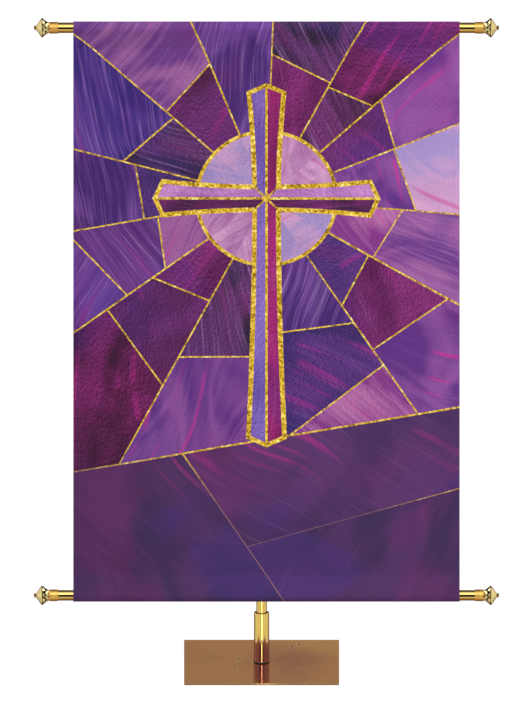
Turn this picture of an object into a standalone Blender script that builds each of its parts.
"""Church banner: a printed cloth on two brass rods, hung from a floor stand.

Metres, +Z up. The face of the banner looks along -Y, the rods lie along X, and the
stand rests on z = 0. X is 0 at the middle of the rods and Y is 0 on the axis of the
pole, which is also the middle of the base plate.
"""

import math

import bmesh
import bpy
from mathutils import Matrix, Vector

# The cloth.
CLOTH_WIDTH = 0.9144
CLOTH_THICKNESS = 0.0018
POCKET_SEAM_DROP = 0.050  # from a rod's axis to the seam that closes its pocket
POCKET_FLAP = 0.010  # the turned-in end of the pocket, past the seam
SIDE_HEM_WIDTH = 0.018
POCKET_ARC_STEPS = 30

# The two rods, one inch tubes.
ROD_RADIUS = 0.0127
ROD_BORE_RADIUS = 0.0060
ROD_BORE_DEPTH = 0.0160
TOP_ROD_Z = 1.5776
BOTTOM_ROD_Z = 0.1768
ROD_AHEAD = 0.0303  # how far the rods lie in front of the axis of the pole

# The ribbed ferrule over each end of a rod, from its outer end.
FERRULE_OUTER_END = 0.5145
FERRULE_LENGTH = 0.0213
FERRULE_FLANGE = 0.0030
FERRULE_CHAMFER = 0.0010
FERRULE_RIBS = 4
FERRULE_RIB_PITCH = 0.0042
FERRULE_VALLEY = 0.0137
FERRULE_RIB = ((0.22, 0.0142), (0.50, 0.0144), (0.78, 0.0142))  # share of pitch, radius
FERRULE_SKIRT = (0.0028, 0.0141)  # length of the cone towards the cloth, its radius
FERRULE_LIP = 0.0134

# The faceted finial, outwards from the face that meets the ferrule.
FINIAL_FACETS = 10
FINIAL_SPIGOT_RADIUS = 0.0057
FINIAL_SPIGOT_LENGTH = 0.0140
FINIAL_NECK = (0.0014, 0.0114)  # distance out, radius, as in the next four
FINIAL_WAIST = (0.0070, 0.0135)
FINIAL_RIM = (0.0163, 0.0221)
FINIAL_CROWN = (0.0245, 0.0134)
FINIAL_BUTTON_FOOT = (0.0307, 0.0045)
FINIAL_LENGTH = 0.0356
FINIAL_BUTTON_EASE = (0.0007, 0.0010)  # how far its end is eased, along and across

# The stand.
STAND_X = -0.0115  # the rods hang this much off the middle of the stand
POLE_RADIUS = 0.0127
COLLAR_RADIUS = 0.0181
COLLAR_TOP_Z = 0.1266
COLLAR_EASE = 0.0014
BUSHING_RADIUS = 0.0154
BUSHING_DEPTH = 0.0080
BUSHING_SUNK = 0.0005
WASHER_RADIUS = 0.0187
WASHER_THICKNESS = 0.0022
PLATE_SIDE = 0.3670
PLATE_THICKNESS = 0.0040
PLATE_EDGE_RADIUS = 0.0008

# The hook that carries the top rod, and the cap that holds it on the pole.
HOOK_THICKNESS = 0.0026
HOOK_WIDTH = 0.036
HOOK_FROM_DEG = -115.0  # from the side away from the face, upwards
HOOK_TO_DEG = 45.0
HOOK_ARC_STEPS = 14
HOOK_ARM_WIDTH = 0.020
HOOK_ARM_LOW = -0.0130
HOOK_ARM_HIGH = -0.0050
CAP_RADIUS = 0.0160
CAP_TOP_BELOW_ROD = 0.0040
CAP_LENGTH = 0.0420
CAP_ROOF = 0.0050
CAP_CHAMFER = 0.0015
SLIT_SIDE_GAP = 0.008
SLIT_FRONT = 0.0055  # behind the rod's axis, out of sight from the front

GAP = 0.0003  # between pieces that touch
ROUND_STEPS = 32
SMALL_STEPS = 24
EASE_STEPS = 3
SMOOTH_ANGLE = math.radians(35)
OVERLAP = 0.0004  # how far one shape reaches into another before they are joined


def clear_scene():
    for obj in list(bpy.data.objects):
        bpy.data.objects.remove(obj, do_unlink=True)


def new_collection(name):
    group = bpy.data.collections.new(name)
    bpy.context.scene.collection.children.link(group)
    return group


def material(name, colour, roughness, metallic):
    """A Principled material of one colour, a linear RGB triple."""
    made = bpy.data.materials.new(name)
    made.use_nodes = True
    shader = made.node_tree.nodes["Principled BSDF"]
    shader.inputs["Base Color"].default_value = (*colour, 1.0)
    shader.inputs["Roughness"].default_value = roughness
    shader.inputs["Metallic"].default_value = metallic
    return made


def place(obj, group, look):
    group.objects.link(obj)
    obj.data.materials.append(look)
    return obj


def smooth(obj):
    obj.data.shade_smooth()
    obj.data.set_sharp_from_angle(angle=SMOOTH_ANGLE)


def turned(name, outline, steps, group, look, ring=False):
    """A lathe shape round its own Z axis. The outline is (radius, height) pairs that run down
    the outer side, from axis to axis, or all the way round the section of a ring."""
    count = len(outline)
    edges = [(i, i + 1) for i in range(count - 1)]
    if ring:
        edges.append((count - 1, 0))
    mesh = bpy.data.meshes.new(name)
    mesh.from_pydata([(radius, 0.0, height) for radius, height in outline], edges, [])
    obj = place(bpy.data.objects.new(name, mesh), group, look)
    screw = obj.modifiers.new("turn", "SCREW")
    screw.axis = "Z"
    screw.steps = steps
    screw.render_steps = steps
    screw.use_merge_vertices = True
    screw.merge_threshold = 1e-5
    screw.use_smooth_shade = True
    return obj


def block(name, low, high, group, look=None):
    """An upright box between two corners."""
    mesh = bpy.data.meshes.new(name)
    shape = bmesh.new()
    bmesh.ops.create_cube(shape, size=1.0)
    for vert in shape.verts:
        vert.co = Vector(
            (low[axis] + high[axis]) / 2 + vert.co[axis] * (high[axis] - low[axis])
            for axis in range(3)
        )
    shape.to_mesh(mesh)
    shape.free()
    obj = bpy.data.objects.new(name, mesh)
    if look is None:
        group.objects.link(obj)
        obj.hide_render = True
        obj.display_type = "WIRE"
    else:
        place(obj, group, look)
    return obj


def combine(obj, operation, other):
    step = obj.modifiers.new(f"{operation.lower()} {other.name}", "BOOLEAN")
    step.operation = operation
    step.solver = "EXACT"
    step.object = other


def section_solid(name, outlines, width, origin, group, look):
    """A flat outline in the YZ plane, with its holes, carried along X to the given width."""
    curve = bpy.data.curves.new(name, "CURVE")
    curve.dimensions = "2D"
    curve.fill_mode = "BOTH"
    curve.extrude = width / 2
    for outline in outlines:
        spline = curve.splines.new("POLY")
        spline.points.add(len(outline) - 1)
        spline.use_cyclic_u = True
        for point, (behind, up) in zip(spline.points, outline):
            point.co = (behind, up, 0.0, 1.0)
    guide = bpy.data.objects.new(name + "_outline", curve)
    group.objects.link(guide)
    # The outline's own X, Y and Z become the world's Y, Z and X.
    turn = Matrix(((0, 0, 1), (1, 0, 0), (0, 1, 0))).to_4x4()
    guide.matrix_world = Matrix.Translation(origin) @ turn
    bpy.context.view_layer.update()
    graph = bpy.context.evaluated_depsgraph_get()
    mesh = bpy.data.meshes.new_from_object(guide.evaluated_get(graph))
    mesh.name = name
    shape = bmesh.new()
    shape.from_mesh(mesh)
    bmesh.ops.remove_doubles(shape, verts=shape.verts, dist=1e-6)
    bmesh.ops.recalc_face_normals(shape, faces=shape.faces)
    shape.to_mesh(mesh)
    shape.free()
    mesh.materials.clear()
    obj = place(bpy.data.objects.new(name, mesh), group, look)
    obj.matrix_world = guide.matrix_world.copy()
    bpy.data.objects.remove(guide, do_unlink=True)
    bpy.data.curves.remove(curve)
    return obj


def arc(centre, radius, start, end, steps):
    return [
        (
            centre[0] + radius * math.cos(start + (end - start) * i / steps),
            centre[1] + radius * math.sin(start + (end - start) * i / steps),
        )
        for i in range(steps + 1)
    ]


def loop_over_rod(radius, front_end, back_end, drop):
    """The pocket's section round a rod at (0, 0): an arc over the rod between the points where
    straight cloth leaves it for the two seam points, which lie below the rod. It runs from the
    front seam point to the back one."""
    front, back = (front_end, -drop), (back_end, -drop)
    leaves = [
        math.atan2(up, behind) + side * math.acos(radius / math.hypot(behind, up))
        for side, (behind, up) in ((-1, front), (1, back))
    ]
    over = arc((0.0, 0.0), radius, leaves[0] + 2 * math.pi, leaves[1], POCKET_ARC_STEPS)
    return [front, *over, back]


def shifted(points, up, flip=1):
    return [(behind, up + flip * height) for behind, height in points]


def make_cloth(group, cutters, look):
    """The panel hangs in the plane of the two rods, and each pocket is a drop-shaped loop. The
    section is two cloths thick between the pockets. A shallow recess in its back leaves that
    double thickness only where the side hems and the ends of the pockets are turned over."""
    half = CLOTH_THICKNESS / 2
    inner_radius = ROD_RADIUS + GAP
    outside = loop_over_rod(
        inner_radius + CLOTH_THICKNESS, -half, 3 * half, POCKET_SEAM_DROP
    )
    fold_end = POCKET_SEAM_DROP - CLOTH_THICKNESS
    inside = loop_over_rod(inner_radius, half, half, fold_end)[:-1]
    top = shifted(outside, TOP_ROD_Z)
    bottom = shifted(outside, BOTTOM_ROD_Z, -1)
    pockets = [shifted(inside, TOP_ROD_Z), shifted(inside, BOTTOM_ROD_Z, -1)]
    cloth = section_solid(
        "banner_cloth",
        [[*top, *reversed(bottom)], *pockets],
        CLOTH_WIDTH,
        (0.0, -ROD_AHEAD, 0.0),
        group,
        look,
    )
    between_hems = CLOTH_WIDTH / 2 - SIDE_HEM_WIDTH
    flap_end = POCKET_SEAM_DROP + POCKET_FLAP
    recess = block(
        "single_thickness",
        (-between_hems, -ROD_AHEAD + half, BOTTOM_ROD_Z + flap_end),
        (between_hems, -ROD_AHEAD + 4 * half, TOP_ROD_Z - flap_end),
        cutters,
    )
    combine(cloth, "DIFFERENCE", recess)
    reach = HOOK_WIDTH / 2 + SLIT_SIDE_GAP
    slit = block(
        "pocket_slit",
        (STAND_X - reach, -ROD_AHEAD + SLIT_FRONT, TOP_ROD_Z - POCKET_SEAM_DROP),
        (STAND_X + reach, 0.0, TOP_ROD_Z + POCKET_SEAM_DROP),
        cutters,
    )
    combine(cloth, "DIFFERENCE", slit)
    return cloth


def make_rod(name, height, group, look):
    """A rod with a blind bore at each end for its finial."""
    end = FERRULE_OUTER_END - FERRULE_FLANGE - GAP
    floor = end - ROD_BORE_DEPTH
    outline = [
        (0.0, floor),
        (ROD_BORE_RADIUS, floor),
        (ROD_BORE_RADIUS, end),
        (ROD_RADIUS, end),
        (ROD_RADIUS, -end),
        (ROD_BORE_RADIUS, -end),
        (ROD_BORE_RADIUS, -floor),
        (0.0, -floor),
    ]
    rod = turned(name, outline, SMALL_STEPS, group, look)
    rod.rotation_euler = (0.0, math.pi / 2, 0.0)
    rod.location = (0.0, -ROD_AHEAD, height)
    return rod


def ferrule_outline():
    """The section of a ferrule, with its outer end up at 0 and its ribs down its outer side."""
    top = [
        (FERRULE_VALLEY - FERRULE_CHAMFER, 0.0),
        (FERRULE_VALLEY, -FERRULE_CHAMFER),
    ]
    ribs = [
        (radius, -FERRULE_CHAMFER - (rib + share) * FERRULE_RIB_PITCH)
        for rib in range(FERRULE_RIBS)
        for share, radius in (*FERRULE_RIB, (1.0, FERRULE_VALLEY))
    ]
    bore = ROD_RADIUS + GAP
    hole = FINIAL_SPIGOT_RADIUS + GAP
    skirt_length, skirt_radius = FERRULE_SKIRT
    tail = [
        (skirt_radius, skirt_length - FERRULE_LENGTH),
        (FERRULE_LIP, -FERRULE_LENGTH),
        (bore, -FERRULE_LENGTH),
        (bore, -FERRULE_FLANGE),
        (hole, -FERRULE_FLANGE),
        (hole, 0.0),
    ]
    return [*top, *ribs, *tail]


def finial_rings():
    """(distance out, radius, turned by half a facet) of each ring of corners."""
    ease_along, ease_across = FINIAL_BUTTON_EASE
    button_radius = FINIAL_BUTTON_FOOT[1]
    return (
        (-FINIAL_SPIGOT_LENGTH, FINIAL_SPIGOT_RADIUS, 0),
        (0.0, FINIAL_SPIGOT_RADIUS, 0),
        (0.0, FINIAL_NECK[1], 0),
        (*FINIAL_NECK, 0),
        (*FINIAL_WAIST, 1),
        (*FINIAL_RIM, 0),
        (*FINIAL_CROWN, 0),
        (*FINIAL_BUTTON_FOOT, 0),
        (FINIAL_LENGTH - ease_along, button_radius, 0),
        (FINIAL_LENGTH, button_radius - ease_across, 0),
    )


def finial_mesh(name):
    """Flat facets between rings of corners, with triangles where one ring is turned to the next."""
    shape = bmesh.new()
    step = 2 * math.pi / FINIAL_FACETS
    rings = finial_rings()
    corners = []
    for out, radius, turn in rings:
        corners.append(
            [
                shape.verts.new(
                    (
                        radius * math.cos(step * (i + turn / 2)),
                        radius * math.sin(step * (i + turn / 2)),
                        out,
                    )
                )
                for i in range(FINIAL_FACETS)
            ]
        )
    for (_, _, turn), (_, _, next_turn), near, far in zip(
        rings, rings[1:], corners, corners[1:]
    ):
        for i in range(FINIAL_FACETS):
            j = (i + 1) % FINIAL_FACETS
            if turn == next_turn:
                shape.faces.new((near[i], near[j], far[j], far[i]))
            elif turn < next_turn:
                shape.faces.new((near[i], near[j], far[i]))
                shape.faces.new((near[j], far[j], far[i]))
            else:
                shape.faces.new((near[i], far[j], far[i]))
                shape.faces.new((near[i], near[j], far[j]))
    shape.faces.new(corners[0][::-1])
    shape.faces.new(corners[-1])
    bmesh.ops.recalc_face_normals(shape, faces=shape.faces)
    mesh = bpy.data.meshes.new(name)
    shape.to_mesh(mesh)
    shape.free()
    return mesh


def make_rod_ends(group, ferrule_look, finial_look):
    """A ferrule and a finial at each end of each rod. Their own Z points outwards."""
    for level, height in (("top", TOP_ROD_Z), ("bottom", BOTTOM_ROD_Z)):
        for side, word in ((-1, "left"), (1, "right")):
            turn = (0.0, side * math.pi / 2, 0.0)
            ferrule = turned(
                f"ferrule_{level}_{word}",
                ferrule_outline(),
                SMALL_STEPS,
                group,
                ferrule_look,
                ring=True,
            )
            ferrule.location = (side * FERRULE_OUTER_END, -ROD_AHEAD, height)
            ferrule.rotation_euler = turn
            name = f"finial_{level}_{word}"
            finial = place(
                bpy.data.objects.new(name, finial_mesh(name)), group, finial_look
            )
            finial.location = (
                side * (FERRULE_OUTER_END + GAP),
                -ROD_AHEAD,
                height,
            )
            finial.rotation_euler = turn


def make_pole(group, look):
    low = PLATE_THICKNESS + GAP
    high = TOP_ROD_Z - CAP_TOP_BELOW_ROD - CAP_ROOF - GAP
    outline = [(0.0, high), (POLE_RADIUS, high), (POLE_RADIUS, low), (0.0, low)]
    pole = turned("pole", outline, ROUND_STEPS, group, look)
    pole.location = (STAND_X, 0.0, 0.0)
    return pole


def make_hook(group, cutters, look):
    """A half-round hook under and behind the top rod, an arm, and a cap over the pole."""
    inner = ROD_RADIUS + GAP
    outer = inner + HOOK_THICKNESS
    start, end = math.radians(HOOK_FROM_DEG), math.radians(HOOK_TO_DEG)
    outline = [
        *arc((0.0, 0.0), outer, start, end, HOOK_ARC_STEPS),
        *arc((0.0, 0.0), inner, end, start, HOOK_ARC_STEPS),
    ]
    hook = section_solid(
        "rod_hook",
        [outline],
        HOOK_WIDTH,
        (STAND_X, -ROD_AHEAD, TOP_ROD_Z),
        group,
        look,
    )
    bore = POLE_RADIUS + GAP
    top = TOP_ROD_Z - CAP_TOP_BELOW_ROD
    ceiling = top - CAP_ROOF
    low = top - CAP_LENGTH
    cap_outline = [
        (0.0, top),
        (CAP_RADIUS - CAP_CHAMFER, top),
        (CAP_RADIUS, top - CAP_CHAMFER),
        (CAP_RADIUS, low),
        (bore, low),
        (bore, ceiling),
        (0.0, ceiling),
    ]
    cap = turned("pole_cap", cap_outline, ROUND_STEPS, cutters, look)
    cap.location = (STAND_X, 0.0, 0.0)
    arm = block(
        "hook_arm",
        (
            STAND_X - HOOK_ARM_WIDTH / 2,
            -ROD_AHEAD + inner + OVERLAP,
            TOP_ROD_Z + HOOK_ARM_LOW,
        ),
        (
            STAND_X + HOOK_ARM_WIDTH / 2,
            -bore - OVERLAP,
            TOP_ROD_Z + HOOK_ARM_HIGH,
        ),
        cutters,
    )
    for piece in (cap, arm):
        piece.hide_render = True
        piece.display_type = "WIRE"
        combine(hook, "UNION", piece)
    return hook


def eased_edge(radius, height, ease):
    """The quarter round of an outer top edge, from its flat top to its side."""
    return arc((radius - ease, height - ease), ease, math.pi / 2, 0.0, EASE_STEPS)


def make_collar(group, brass, plastic, rubber):
    """The socket tube, the bushing in its mouth and the washer under its foot."""
    washer_low = PLATE_THICKNESS + GAP
    washer_high = washer_low + WASHER_THICKNESS
    foot = washer_high + GAP
    bore = POLE_RADIUS + 2 * GAP
    mouth = BUSHING_RADIUS + GAP
    shelf = COLLAR_TOP_Z - BUSHING_SUNK - BUSHING_DEPTH
    collar = turned(
        "pole_collar",
        [
            (mouth, COLLAR_TOP_Z),
            *eased_edge(COLLAR_RADIUS, COLLAR_TOP_Z, COLLAR_EASE),
            (COLLAR_RADIUS, foot),
            (bore, foot),
            (bore, shelf - GAP),
            (mouth, shelf - GAP),
        ],
        ROUND_STEPS,
        group,
        brass,
        ring=True,
    )
    bushing_top = COLLAR_TOP_Z - BUSHING_SUNK
    bushing = turned(
        "collar_bushing",
        [
            (POLE_RADIUS + GAP, bushing_top),
            (BUSHING_RADIUS, bushing_top),
            (BUSHING_RADIUS, shelf),
            (POLE_RADIUS + GAP, shelf),
        ],
        ROUND_STEPS,
        group,
        plastic,
        ring=True,
    )
    washer = turned(
        "collar_washer",
        [
            (bore, washer_high),
            (WASHER_RADIUS, washer_high),
            (WASHER_RADIUS, washer_low),
            (bore, washer_low),
        ],
        ROUND_STEPS,
        group,
        rubber,
        ring=True,
    )
    for piece in (collar, bushing, washer):
        piece.location = (STAND_X, 0.0, 0.0)


def make_plate(group, look):
    half = PLATE_SIDE / 2
    plate = block(
        "base_plate",
        (STAND_X - half, -half, 0.0),
        (STAND_X + half, half, PLATE_THICKNESS),
        group,
        look,
    )
    bevel = plate.modifiers.new("eased edges", "BEVEL")
    bevel.width = PLATE_EDGE_RADIUS
    bevel.segments = 2
    bevel.limit_method = "ANGLE"
    smooth(plate)
    return plate


def main():
    clear_scene()
    banner = new_collection("church_banner")
    cutters = new_collection("cutters")
    cloth_look = material("printed_cloth", (0.105, 0.035, 0.200), 0.85, 0.0)
    rod_look = material("rod_brass", (0.780, 0.520, 0.160), 0.15, 1.0)
    ferrule_look = material("ferrule_brass", (0.700, 0.380, 0.100), 0.30, 1.0)
    finial_look = material("finial_brass", (0.850, 0.700, 0.350), 0.10, 1.0)
    pole_look = material("pole_brass", (0.760, 0.520, 0.170), 0.18, 1.0)
    collar_look = material("collar_brass", (0.740, 0.500, 0.150), 0.16, 1.0)
    hook_look = material("hook_brass", (0.680, 0.460, 0.150), 0.35, 1.0)
    bushing_look = material("bushing_nylon", (0.015, 0.015, 0.016), 0.55, 0.0)
    washer_look = material("washer_rubber", (0.010, 0.010, 0.010), 0.75, 0.0)
    plate_look = material("plate_brass", (0.400, 0.210, 0.080), 0.22, 1.0)
    make_cloth(banner, cutters, cloth_look)
    make_rod("top_rod", TOP_ROD_Z, banner, rod_look)
    make_rod("bottom_rod", BOTTOM_ROD_Z, banner, rod_look)
    make_rod_ends(banner, ferrule_look, finial_look)
    make_pole(banner, pole_look)
    make_hook(banner, cutters, hook_look)
    make_collar(banner, collar_look, bushing_look, washer_look)
    make_plate(banner, plate_look)


main()
